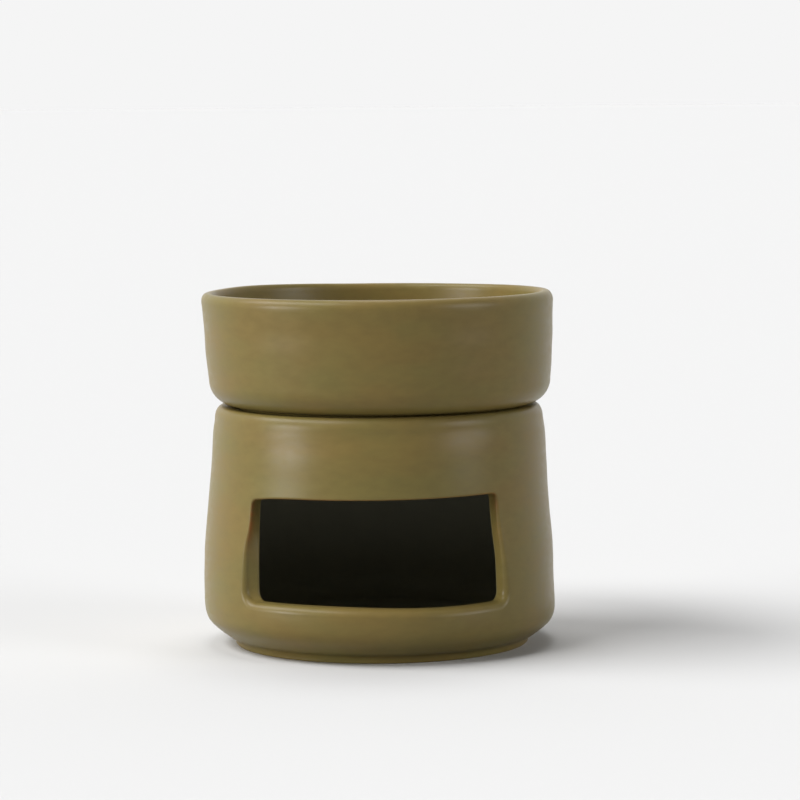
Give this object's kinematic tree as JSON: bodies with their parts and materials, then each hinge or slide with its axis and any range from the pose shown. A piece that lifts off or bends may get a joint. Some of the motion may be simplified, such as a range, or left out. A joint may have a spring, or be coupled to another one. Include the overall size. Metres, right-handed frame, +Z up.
{
  "type": "oil burner",
  "caption": "Tealight oil burner in matt olive stoneware: a round base with a wide candle window, and a shallow oil dish that seats on its rim and lifts off.",
  "frame": {"origin": "centre of the foot's resting face, on the axis that both pieces were turned about", "axes": "+Z up along the turning axis, -Y out through the middle of the candle window, +X to the right as seen from the window side"},
  "size_m": [0.1056, 0.1056, 0.1055],
  "materials": {
    "base_glaze": "satin",
    "dish_glaze": "satin"
  },
  "bodies": {
    "base": {"burner_base": "base_glaze"},
    "dish": {"oil_dish": "dish_glaze"}
  },
  "joints": [
    {"name": "dish_lift", "type": "slide", "parent": "base", "child": "dish", "axis": [0, 0, 1], "range_m": [0, 0.06]}
  ]
}
